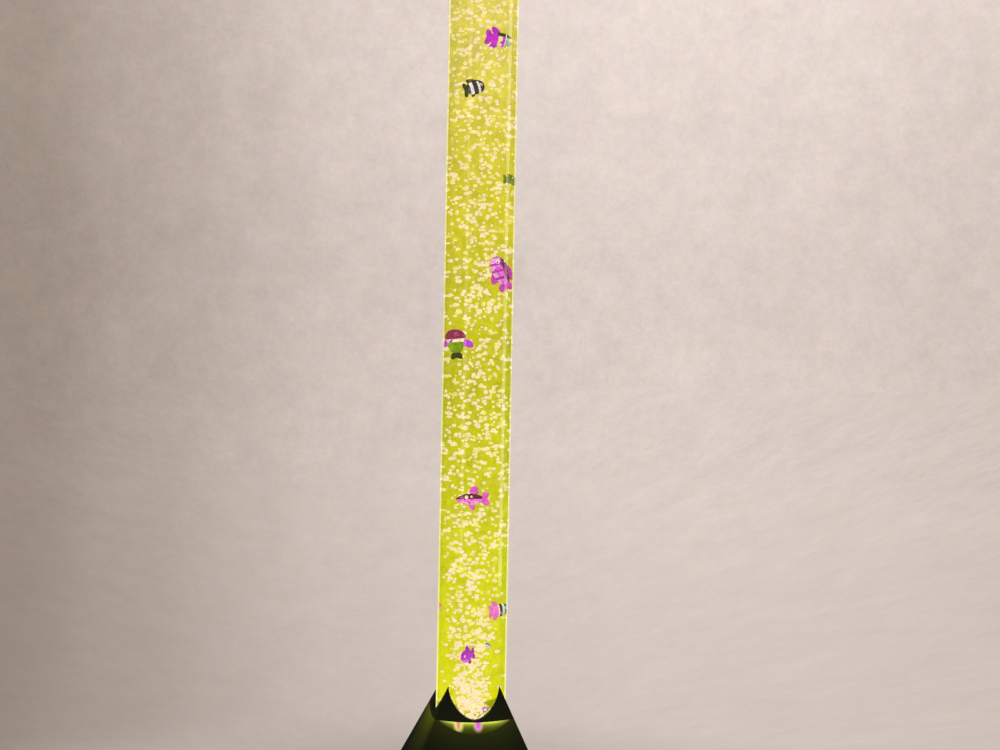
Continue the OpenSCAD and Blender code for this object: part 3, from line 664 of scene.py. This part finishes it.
# %% The paint with one fish's colours
def fish_material(name, **values):
    """Painted light: the paint's colour glows in the emission, standing in for the lit water's light shining
    through the plastic, with painted shading that is lighter on top and darker where the surface turns away.
    """
    material, tree, shader = new_material(name, {"Emission Strength": 1.0, "Specular IOR Level": 0.06})
    coat = add(tree, "Group", node_tree=paint)
    for label, value in {"tail": values["fins"], **values}.items():
        coat.inputs[label.replace("_", " ").capitalize()].default_value = value
    tree.links.new(coloured(tree, coat.outputs["Colour"], (0.15, 0.15, 0.15)), shader.inputs["Base Color"])
    calc = math_nodes(tree)
    # painted shading: the glow is lighter where the surface faces up and darker where it turns away from the view
    up = split(tree, add(tree, "NewGeometry").outputs["Normal"])[2]
    turned = add(tree, "LayerWeight", {"Blend": 0.5}).outputs["Facing"]
    painted_form_shading = calc("MULTIPLY_ADD", turned, -0.45, calc("MULTIPLY_ADD", up, 0.15, 1.25))
    lift = add(tree, "Group", node_tree=water_tint).outputs["Lift"]
    glow = coloured(tree, coloured(tree, coat.outputs["Colour"], lift), painted_form_shading)
    tree.links.new(glow, shader.inputs["Emission Color"])
    tree.links.new(coat.outputs["Roughness"], shader.inputs["Roughness"])
    bump = add(tree, "Bump", {"Strength": 0.5, "Distance": 0.0004, "Height": coat.outputs["Height"]})
    tree.links.new(bump.outputs[0], shader.inputs["Normal"])
    return material

# %% [markdown]
# Each fish hangs where its CAD solid is. The table repeats the solids' places in millimetres: across the
# tube, depth, height, then length, body height, nose-up angle and heading in degrees. The whole shoal is
# turned 7 degrees about the tube. A fish rides on its own body, so it swims up and down by itself.

# %% The shoal
PLUMP = 0.36                # a fish's thickness, as a share of its height
SHOAL_TURN = math.radians(-7)
VIOLET, PINK = rgb(204, 10, 220), rgb(248, 96, 228)
CREAM, INK, LEAF = rgb(255, 232, 205), rgb(42, 6, 58), rgb(118, 132, 0)
SHOAL = {
    "fish_01": ((14, 2, 999, 28, 19, -8, 25), "deep",
                dict(side=VIOLET, back=rgb(40, 54, 8), belly=rgb(214, 40, 228), band=rgb(240, 226, 150),
                     fins=VIOLET, bands=4.0, band_width=0.72, band_shift=0.65, head=rgb(150, 172, 140),
                     head_line=0.27, rim=rgb(240, 244, 230), rim_width=0.015, back_line=0.2,
                     back_from=-0.08)),
    "fish_02": ((-10, -16, 933, 30, 19, 20, 35), "slim",
                dict(side=rgb(238, 230, 226), back=INK, belly=rgb(244, 238, 244), band=INK,
                     fins=rgb(40, 58, 10), bands=6.0, band_width=0.4, band_shift=0.5, head=INK,
                     head_line=0.28, back_line=0.36)),
    "fish_03": ((28, 8, 820, 24, 12, 0, 60), "slim",
                dict(side=LEAF, back=rgb(92, 104, 0), belly=rgb(140, 156, 10), band=rgb(70, 84, 0), fins=LEAF,
                     bands=6.0, band_width=0.7)),
    "fish_04": ((21, 8, 699, 46, 19, 72, 160), "frilly",
                dict(side=rgb(234, 104, 228), back=rgb(112, 12, 92), belly=rgb(248, 176, 242),
                     band=rgb(188, 28, 172), fins=rgb(222, 60, 204), bands=10.0, band_width=0.7,
                     head=rgb(238, 160, 248), head_line=0.34, back_line=0.24)),
    "fish_05": ((-21.5, 0, 607, 39, 22, 85, 165), "cap",
                dict(side=rgb(118, 148, 4), belly=rgb(138, 166, 8), fins=rgb(208, 60, 238),
                     tail=rgb(40, 58, 8), head=rgb(138, 8, 88), head_line=0.2, rim=CREAM, rim_width=0.05,
                     back_line=2.0, eye=rgb(196, 96, 150))),
    "fish_06": ((-2, -8, 410, 35, 19, -3, 180), "snout",
                dict(side=PINK, back=rgb(78, 2, 54), belly=rgb(230, 166, 208), fins=rgb(246, 92, 220),
                     back_line=0.02, eye=rgb(170, 60, 130))),
    "fish_07": ((23, 8, 266, 24, 17, 5, 50), "deep",
                dict(side=rgb(250, 112, 228), belly=PINK, band=rgb(20, 30, 28), fins=rgb(246, 130, 200),
                     bands=9.0, band_width=0.5, bands_from=0.0, head=rgb(216, 228, 204), head_line=0.0,
                     back_line=2.0)),
    "fish_08": ((-4, -16, 212, 26, 17, -10, 235), "star",
                dict(side=rgb(202, 4, 218), back=rgb(176, 2, 198), belly=rgb(232, 110, 244),
                     fins=rgb(180, 20, 212))),
    "fish_09": ((-29, 10, 268, 20, 10, 0, 75), "slim",
                dict(side=rgb(244, 168, 140), back=rgb(226, 120, 110), belly=rgb(250, 214, 170),
                     fins=rgb(240, 190, 120))),
    "fish_10": ((18, -14, 224, 16, 7, 8, 130), "slim",
                dict(side=rgb(230, 226, 170), back=rgb(112, 112, 190), belly=rgb(238, 232, 190),
                     fins=rgb(214, 214, 90))),
    "fish_11": ((2, 16, 142, 28, 14, -20, 15), "slim",
                dict(side=rgb(255, 230, 180), back=rgb(230, 214, 90), belly=CREAM, fins=rgb(240, 224, 140),
                     head=rgb(176, 110, 226), head_line=0.3, eye=rgb(206, 160, 240))),
}


def place_fish(name, row, shape, colours):
    across, depth, z, length, tall, nose_up, heading = row
    mesh = CASTINGS[shape].data.copy()
    fish = bpy.data.objects.new(name + "_painted", mesh)
    mesh.name = fish.name
    bpy.context.scene.collection.objects.link(fish)
    co = np.empty(len(mesh.vertices) * 3, np.float32)
    mesh.vertices.foreach_get("co", co)
    mesh.attributes.new("own", "FLOAT_VECTOR", "POINT").data.foreach_set("vector", co)
    mm = 0.001
    mesh.transform(
        Matrix.Rotation(SHOAL_TURN, 4, "Z")
        @ Matrix.Translation(Vector((across, depth, z)) * mm)
        @ Matrix.Rotation(math.radians(heading), 4, "Z")
        @ Matrix.Rotation(math.radians(-nose_up), 4, "Y")
        @ Matrix.Diagonal((length * mm, tall * PLUMP * mm, tall * mm, 1))
    )
    mesh.materials.clear()
    mesh.materials.append(fish_material(name + "_paint", **colours))
    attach(fish, name)
    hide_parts(name)
    return fish


shoal = {name: place_fish(name, *row) for name, row in SHOAL.items()}
for made in CASTINGS.values():
    bpy.data.objects.remove(made)
print(len(shoal), "fish")

# %% [markdown]
# ## The water
# The water fills the tube from its floor to a hand's width under the lid. It is a closed piece that meets
# the wall without a gap, because a film of air there would turn the edges of the tube to mirrors. Its
# chartreuse is the light of the lamps, deepest near the base and paler higher up. The tint sits in the
# water's skin, and the glow is on the far side only, so that fish and bubbles stand out in front of it.


# %% A column of water
FLOOR_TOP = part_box("tube_floor")[1].z
WETTING = 0.00015                       # the water's skin lies a touch inside the wall that it wets
WATER_RADIUS = TUBE_RADIUS - TUBE_WALL + WETTING
WATER_LEVEL = 1.125
WATER_FOOT = FLOOR_TOP + 0.0002
RIM_WIDTH, RIM_RISE = 0.0012, 0.0008    # the water creeps up the wall: a raised rim at the top
TOUCH = 1e-4

select_none()
bpy.ops.mesh.primitive_cylinder_add(vertices=192, radius=WATER_RADIUS, depth=WATER_LEVEL - WATER_FOOT,
                                    location=(0, 0, (WATER_LEVEL + WATER_FOOT) / 2), end_fill_type="NGON")
water = bpy.context.object
water.name = water.data.name = "water"
bpy.ops.object.transform_apply(location=True)
bpy.ops.object.mode_set(mode="EDIT")
bpy.ops.mesh.select_all(action="DESELECT")
bpy.ops.object.mode_set(mode="OBJECT")
for face in water.data.polygons:
    face.select = abs(face.normal.z) > 0.9
bpy.ops.object.mode_set(mode="EDIT")
bpy.ops.mesh.inset(thickness=RIM_WIDTH, depth=0)
bpy.ops.object.mode_set(mode="OBJECT")
for vertex in water.data.vertices:
    if vertex.co.z > WATER_LEVEL - TOUCH and vertex.co.xy.length > WATER_RADIUS - TOUCH:
        vertex.co.z += RIM_RISE
bpy.ops.object.shade_smooth_by_angle(angle=math.radians(30))
print("water", round(math.pi * WATER_RADIUS ** 2 * (WATER_LEVEL - WATER_FOOT) * 1000, 1), "litres")

# %% Lit water
WATER_GLOW = (              # heights in metres, and the light that the far side gives there
    (0.1, (0.5, 0.48, 0.05)), (0.18, (0.22, 0.28, 0.01)), (0.3, (0.13, 0.2, 0.0)),
    (0.54, (0.04, 0.09, 0.0)), (0.8, (0.06, 0.09, 0.0)), (1.05, (0.1, 0.1, 0.01)))
CLOUDS = (((38, 38, 15), 0.86, 1.04), ((120, 120, 90), 0.84, 1.08))      # scale, darkest and lightest


def water_material():
    material, tree, shader = new_material("lit_water", {
        "Emission Strength": 1.0, "Roughness": 0.0, "IOR": 1.333, "Transmission Weight": 1.0})
    place = add(tree, "TexCoord").outputs["Object"]
    tint = add(tree, "Group", node_tree=water_tint).outputs["Tint"]
    for scale, darkest, lightest in CLOUDS:
        drift = add(tree, "Mapping", {"Vector": place, "Scale": scale}).outputs[0]
        tint = coloured(tree, tint, slope(tree, noise(tree, drift, 1.0, 3.0), 0.35, 0.65, darkest, lightest))
    tree.links.new(tint, shader.inputs["Base Color"])
    far_side = slope(tree, add(tree, "NewGeometry").outputs["Backfacing"], 0.0, 1.0, 0.01, 1.0)
    tree.links.new(coloured(tree, height_ramp(tree, WATER_GLOW), far_side), shader.inputs["Emission Color"])
    return material


water.data.materials.append(water_material())
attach(water, "lamp")

# %% [markdown]
# ## The bubbles
# A pump in the base blows air through a nozzle in the tube's floor. The bubbles leave in a dense plume and
# spread until they fill the tube, some of them in pairs. Each is nearly round, a touch taller than wide.
# One bubble is modelled, and its mesh is repeated at places drawn from a seeded generator. Places where a
# fish swims are left free, so that no fish cuts through a bubble in any pose.

# %% One bubble
select_none()
bpy.ops.mesh.primitive_uv_sphere_add(segments=10, ring_count=6, radius=1)
seed = bpy.context.object
bpy.ops.object.mode_set(mode="EDIT")
bpy.ops.mesh.select_all(action="SELECT")
bpy.ops.transform.resize(value=(1.0, 1.0, 1.08))
bpy.ops.object.mode_set(mode="OBJECT")
seed_points = np.array([v.co for v in seed.data.vertices])
seed_faces = [list(face.vertices) for face in seed.data.polygons]
bpy.data.objects.remove(seed)
print("one bubble has", len(seed_faces), "faces")

# %% Where a bubble has room
HALF_HIDDEN = ("fish_09", "fish_10", "fish_11")         # fish that the stream covers in the photograph
LOWEST, CLEAR = 0.103, 0.0003             # no bubble reaches below this, or this near to the water's skin
RANGES = {joint["child"]: joint["range_m"] for joint in frame["joints"] if joint["child"] in SHOAL}
fish_boxes = []
lanes = []
for name, fish in shoal.items():
    co = np.array([v.co for v in fish.data.vertices])
    lanes.append((co[:, :2], co[:, 2].min() + RANGES[name][0], co[:, 2].max() + RANGES[name][1]))
    if name not in HALF_HIDDEN:
        fish_boxes.append((co.min(axis=0), co.max(axis=0)))


def in_a_lane(point, radius):
    """Whether a bubble here would be in the way of a fish at some height of its swim."""
    for outline, low, high in lanes:
        if low - radius < point[2] < high + radius:
            if np.hypot(*(outline - point[:2]).T).min() < radius * 1.15 + 0.0006:
                return True
    return False


def before_a_fish(point):
    """Whether a fish at rest hangs right behind this place, on the side that the photograph shows."""
    for low, high in fish_boxes:
        if low[2] < point[2] < high[2] and low[0] < point[0] < high[0] and point[1] < high[1]:
            return True
    return False


def in_the_water(point, radius):
    wide = math.hypot(*point[:2]) + 1.15 * radius < WATER_RADIUS - CLEAR
    return wide and LOWEST < point[2] - radius and point[2] + radius < WATER_LEVEL - CLEAR

# %% Places for the bubbles
PLACES = 2800                             # a place holds one bubble or two, or none where it has no room
FROM, TO = 0.108, WATER_LEVEL - 0.004     # heights of the places
SPREAD_FROM, SPREAD_TO = 0.16, 0.36       # the plume fills the tube between these heights
FULL, NARROW = 0.0375, 0.4                # its radius where it is full, and its share of that at the nozzle
STRAYS = 0.22                             # share of the bubbles that leave the plume early
FINE, FINE_FROM, FINE_BAND = 0.16, 0.106, 0.15          # a cloud of finer ones hangs over the nozzle
PAIRS = 0.16                              # share of the places that hold two, side by side
SMALLEST, GROWTH = 0.0011, 0.0012         # radius, and what is added to it at the most
MOVED_ASIDE = 0.85                        # share that is left out in front of a fish
JITTER = 0.06
BASE = 1.2207440846057596                 # solves b^4 = b + 1: its powers fill a box evenly, with no clumps
EVEN_STEPS = BASE ** -np.arange(1.0, 4.0)

draw = np.random.default_rng(20)
bubbles = []
for k in range(PLACES):
    share_z, share_turn, share_out = (k * EVEN_STEPS + JITTER * draw.random(3)) % 1
    z = FROM + (TO - FROM) * share_z
    fine = draw.random() < FINE
    if fine:
        z = FINE_FROM + FINE_BAND * draw.random() ** 1.5
    width = NARROW + (1 - NARROW) * min(1, max(0, (z - SPREAD_FROM) / (SPREAD_TO - SPREAD_FROM)))
    if draw.random() < STRAYS:
        width = max(width, 0.5 + 0.5 * draw.random())
    out = FULL * width * share_out ** 0.55
    turn = 2 * math.pi * share_turn
    point = np.array([out * math.cos(turn), out * math.sin(turn), z])
    heading = 2 * math.pi * draw.random()
    for _ in range(1 + (draw.random() < PAIRS)):
        radius = (SMALLEST + GROWTH * draw.random()) * (0.75 if fine else 1.0)
        if (in_the_water(point, radius) and not in_a_lane(point, radius)
                and not (before_a_fish(point) and draw.random() < MOVED_ASIDE)):
            bubbles.append((*point, radius))
        step = 1.7 * radius * (0.8 + 0.5 * draw.random())
        rise = 0.6 * radius * (draw.random() - 0.5)
        point = point + [step * math.cos(heading), step * math.sin(heading), rise]
bubbles = np.array(bubbles)
print(len(bubbles), "bubbles")

# %% Three swarms, from low to high
PLUME_PINK = rgb(255, 228, 216)           # what the dense part of the plume tends to
BUBBLE_TONES = ((0.0, rgb(238, 224, 110)), (0.5, rgb(255, 234, 196)), (1.0, rgb(255, 230, 224)))


# painted light: each bubble glows cream in its emission, standing in for the lamps' light that it catches and
# scatters
def glowing_bubble_material():
    material, tree, shader = new_material("air_bubbles", {"Emission Strength": 0.92})
    place = add(tree, "TexCoord").outputs["Object"]
    each = split(tree, add(tree, "TexVoronoi", {"Vector": place, "Scale": 160.0}).outputs["Color"])[0]
    in_plume = ease(tree, split(tree, place)[2], 0.3, 0.17, 0.0, 0.6)
    colour = blend(tree, in_plume, colour_ramp(tree, each, BUBBLE_TONES).outputs["Color"], PLUME_PINK)
    tree.links.new(coloured(tree, colour, (0.3, 0.3, 0.3)), shader.inputs["Base Color"])
    lift = add(tree, "Group", node_tree=water_tint).outputs["Lift"]
    tree.links.new(coloured(tree, colour, lift), shader.inputs["Emission Color"])
    tree.links.new(slope(tree, noise(tree, place, 700.0), 0.0, 1.0, 0.05, 0.35), shader.inputs["Roughness"])
    return material


air = glowing_bubble_material()
heights = np.quantile(bubbles[:, 2], [0, 1 / 3, 2 / 3, 1])
for k, name in enumerate(("bubbles_low", "bubbles_middle", "bubbles_high")):
    chosen = bubbles[(bubbles[:, 2] >= heights[k]) & (bubbles[:, 2] < heights[k + 1] + (k == 2))]
    points = (chosen[:, None, :3] + chosen[:, None, 3:] * seed_points[None]).reshape(-1, 3)
    faces = [[v + n * len(seed_points) for v in face] for n in range(len(chosen)) for face in seed_faces]
    mesh = bpy.data.meshes.new(name)
    mesh.from_pydata(points.tolist(), [], faces)
    mesh.polygons.foreach_set("use_smooth", [True] * len(faces))
    mesh.materials.append(air)
    swarm = bpy.data.objects.new(name, mesh)
    bpy.context.scene.collection.objects.link(swarm)
    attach(swarm, "lamp")
    print(name, len(chosen), "bubbles,", len(faces), "faces")

# %% [markdown]
# ## Stage and light
# A plain pale floor and a pale room round it, in the warm grey of a plastered wall, with painted shade at the
# left and painted light right of the lamp. Far from the lamp the floor shows the room's own colour, so no
# horizon shows.
# Two tall strip lights stand at the sides: they draw the long upright lines of light on the tube. A broad
# soft light hangs over the front.

# %% The colour of the room
# painted light and shade: the room's colour runs from a darker, shaded tone to a paler, lit one, and the table
# says how far towards the lit one it is for each direction
ROOM_SHADED, ROOM_LIT = rgb(156, 141, 130), rgb(222, 208, 200)
ROOM_LIGHT_AND_SHADE = (              # how far to the right of the lamp a ray points, and how pale the room is there
    (-0.7, 0.6), (-0.3, 0.06), (-0.21, 0.0), (-0.16, 0.18), (-0.09, 0.4), (-0.02, 0.68), (0.05, 0.84),
    (0.17, 0.94), (0.3, 0.95), (0.45, 0.8), (0.8, 0.6))
SIDE_TONE = 0.84            # how pale the rest of the room is


def room_colour(tree, direction, ray, mottle_place, grain_depth):
    """Warm grey with the faint mottling of plaster, with painted shade at the left and painted light right of the
    lamp, and paler towards the top.
    """
    calc = math_nodes(tree)
    x, y, z = split(tree, direction)
    far = calc("SQRT", calc("ADD", calc("MULTIPLY", x, x), calc("MULTIPLY", y, y)))
    behind = calc("MULTIPLY", ease(tree, calc("DIVIDE", y, far), -0.1, 0.65), ease(tree, far, 0.06, 0.25))
    bent = ray["Is Transmission Ray"]                        # the tube turns the room round, and evens it out
    x = calc("MULTIPLY_ADD", x, slope(tree, bent, 0.0, 1.0, 1.0, -0.25), calc("MULTIPLY", bent, 0.2))
    ramp = colour_ramp(tree, calc("MULTIPLY_ADD", x, 0.5, 0.5),
                       [((place + 1) / 2, (tone, tone, tone)) for place, tone in ROOM_LIGHT_AND_SHADE])
    ramp.color_ramp.interpolation = "CARDINAL"
    tone = calc("MULTIPLY_ADD", calc("SUBTRACT", ramp.outputs["Color"], SIDE_TONE), behind, SIDE_TONE)
    colour = coloured(tree, blend(tree, tone, ROOM_SHADED, ROOM_LIT), slope(tree, z, 0.08, 0.4, 1.0, 1.27))
    clouds = slope(tree, noise(tree, mottle_place, 13.0, 9.0, 0.76), 0.3, 0.7, 0.965, 1.035)
    grain = calc("SUBTRACT", noise(tree, mottle_place, 34.0, 5.0, 1.0), 0.5)
    mottle = calc("MULTIPLY", clouds, calc("MULTIPLY_ADD", grain, grain_depth, 1.0))
    cast = {"Vector": mottle_place, "Scale": 70.0, "Detail": 5.0, "Roughness": 0.8}
    cast = coloured(tree, add(tree, "TexNoise", cast).outputs["Color"], (0.12, 0.12, 0.12))
    cast = together(tree, cast, (0.94, 0.94, 0.94))
    return coloured(tree, coloured(tree, colour, mottle), cast)


# painted darkening of reflections: mirrored rays see the room and floor at this share of their brightness
MIRRORED_ROOM_DIMMING = 0.12          # the black plastic mirrors a dim room, as behind a camera at home


def in_a_mirror(tree, ray):
    """How bright a ray sees the room: dim if it was mirrored, and as it is if it was bent."""
    calc = math_nodes(tree)
    mirrored = calc("MULTIPLY", ray["Is Glossy Ray"], calc("SUBTRACT", 1.0, ray["Is Transmission Ray"]))
    return calc("MULTIPLY_ADD", mirrored, MIRRORED_ROOM_DIMMING - 1, 1.0)

# %% The room round the lamp
WALL_GRAIN = 0.45
ROOM_LIGHT = (0.5, 0.49, 0.48, 1)         # what the room gives as light, for rays that don't show it

world = bpy.data.worlds.new("room")
bpy.context.scene.world = world
world.use_nodes = True
tree = world.node_tree
calc = math_nodes(tree)
ray = add(tree, "LightPath").outputs
direction = add(tree, "TexCoord").outputs["Generated"]
pale = coloured(tree, room_colour(tree, direction, ray, direction, WALL_GRAIN), in_a_mirror(tree, ray))
seen = calc("MAXIMUM", ray["Is Camera Ray"], ray["Is Transmission Ray"])
seen = calc("MAXIMUM", seen, ray["Is Glossy Ray"])
tree.links.new(blend(tree, seen, ROOM_LIGHT, pale), tree.nodes["Background"].inputs["Color"])

# %% [markdown]
# The floor is lit like any floor close to the lamp, so the base stands in its own soft shade, and a painted
# shade darkens it a little round the lamp too. Farther out it shows the room's colour, with its painted light
# and shade, and no light on it. A place on the floor is turned into a direction by dividing it by its
# distance and a little more, and that direction reads the room's pattern.

# %% The floor
FLOOR_RADIUS = 80
# the room's painted light and shade lie on the floor shifted to the left
FLOOR_SHIFT = (0.2, 0, 0)                 # the pattern lies this far to the left
SHADE_SPREAD, PLASTER_SPREAD = 1.75, 0.57      # the "little more" for the room's shades and for its mottling
NEAR_GRAIN = 0.2
GRAIN_FROM, GRAIN_TO = 1.0, 8.0           # between these distances the grain deepens to the wall's
# painted shade: the floor's colour is a little darker round the lamp
NEAR_SHADE, SHADE_REACH = 0.84, 0.75      # the floor is a little darker round the lamp
NEAR_PLAIN = 0.35                         # share of the room's plain colour there; the rest is lit
PLAIN_FROM, PLAIN_TO = 0.15, 0.6          # between these distances the plain colour takes over

select_none()
bpy.ops.mesh.primitive_circle_add(vertices=96, radius=FLOOR_RADIUS, fill_type="NGON", location=(0, 0, 0))
floor = bpy.context.object
floor.name = "floor"
material, tree, shader = new_material("pale_floor", {"Roughness": 0.7, "Specular IOR Level": 0.2})
calc = math_nodes(tree)
place = add(tree, "TexCoord").outputs["Object"]
away = distance(tree, place)
shifted = together(tree, place, FLOOR_SHIFT)
outward, plaster = (
    add(tree, "VectorMath", {0: shifted, 1: calc("ADD", away, extra)}, operation="DIVIDE").outputs[0]
    for extra in (SHADE_SPREAD, PLASTER_SPREAD))
ray = add(tree, "LightPath").outputs
grain_depth = slope(tree, away, GRAIN_FROM, GRAIN_TO, NEAR_GRAIN, WALL_GRAIN)
pale = coloured(tree, room_colour(tree, outward, ray, plaster, grain_depth), in_a_mirror(tree, ray))
# painted shade round the lamp, fading out farther away
pale = coloured(tree, pale, slope(tree, distance(tree, outward), 0.0, SHADE_REACH, NEAR_SHADE, 1.0))
tree.links.new(pale, shader.inputs["Base Color"])
plain = add(tree, "Emission", {"Color": pale})
share = ease(tree, away, PLAIN_FROM, PLAIN_TO, NEAR_PLAIN, 1.0)
share = calc("MULTIPLY", share, calc("SUBTRACT", 1.0, ray["Is Diffuse Ray"]))
mixed = add(tree, "MixShader", {0: share, 1: shader.outputs[0], 2: plain.outputs[0]}).outputs[0]
tree.links.new(mixed, tree.nodes["Material Output"].inputs["Surface"])
floor.data.materials.append(material)

# %% Three soft lights
def area_light(name, place, target, width, height, power, colour=(1, 0.97, 0.93)):
    data = bpy.data.lights.new(name, "AREA")
    data.shape, data.size, data.size_y = "RECTANGLE", width, height
    data.energy, data.color = power, colour
    light = bpy.data.objects.new(name, data)
    turn = (Vector(target) - Vector(place)).to_track_quat("-Z", "Y")
    light.matrix_world = Matrix.Translation(place) @ turn.to_matrix().to_4x4()
    bpy.context.scene.collection.objects.link(light)
    light.visible_camera = light.visible_transmission = False


area_light("strip_left", (-1.35, -1.25, 0.85), (0, 0, 0.8), 0.34, 1.6, 3.2, (1, 0.95, 0.78))
area_light("strip_right", (1.6, 0.05, 0.85), (0, 0, 0.8), 0.45, 1.6, 5.5)
area_light("soft_front", (0.7, -1.6, 2.3), (0, 0, 0.5), 1.4, 1.4, 16)
